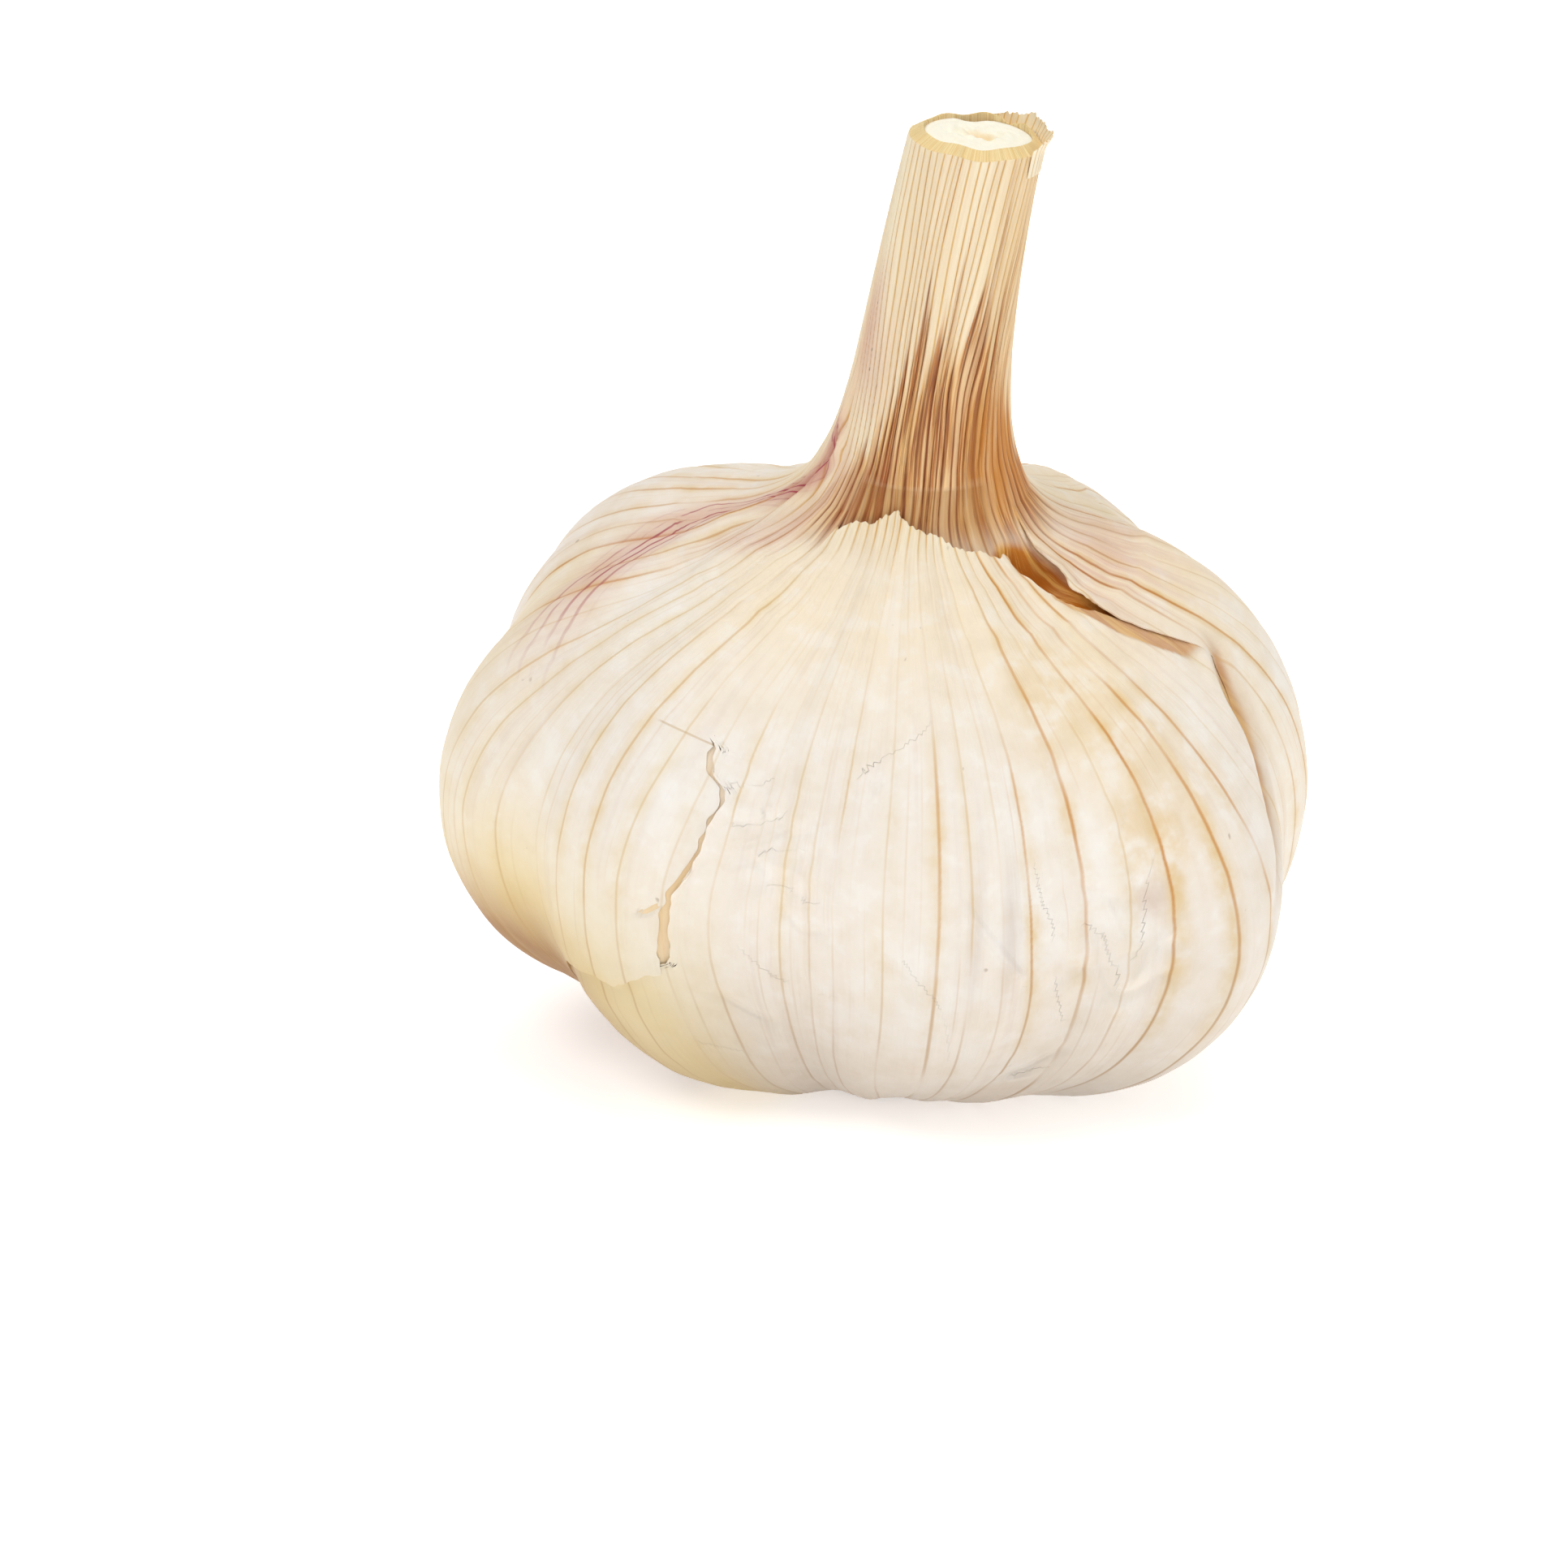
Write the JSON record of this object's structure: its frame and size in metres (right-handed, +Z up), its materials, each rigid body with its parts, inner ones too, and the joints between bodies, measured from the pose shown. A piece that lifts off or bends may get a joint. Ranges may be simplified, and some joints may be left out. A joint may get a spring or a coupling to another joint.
{
  "type": "garlic bulb",
  "caption": "Whole dried garlic bulb with a leaning cut neck, plump cloves under papery outer skin that has split, and a root plate beneath.",
  "frame": {"origin": "on the surface that the bulb stands on, under the middle of its box", "axes": "+Z up, from the root plate to the cut neck; -Y is the front, where the outer skin has split on both sides; the neck leans towards +X"},
  "size_m": [0.0623, 0.0539, 0.0703],
  "materials": {
    "inner_skin": "satin dry leaf sheath, cream on the neck, brown at its base, with fine raised ribs",
    "pith": "matt white spongy pith of the cut flower stalk",
    "root": "matt dry corky plate with short root stubs",
    "outer_skin": "satin papery skin, off-white with fine tan veins and a pink flush at the shoulders"
  },
  "bodies": {
    "root": {"bulb": "inner_skin", "flower_stalk": "pith", "root_plate": "root", "skin_front": "outer_skin", "skin_left": "outer_skin", "skin_back": "outer_skin", "skin_right": "outer_skin"}
  },
  "joints": []
}
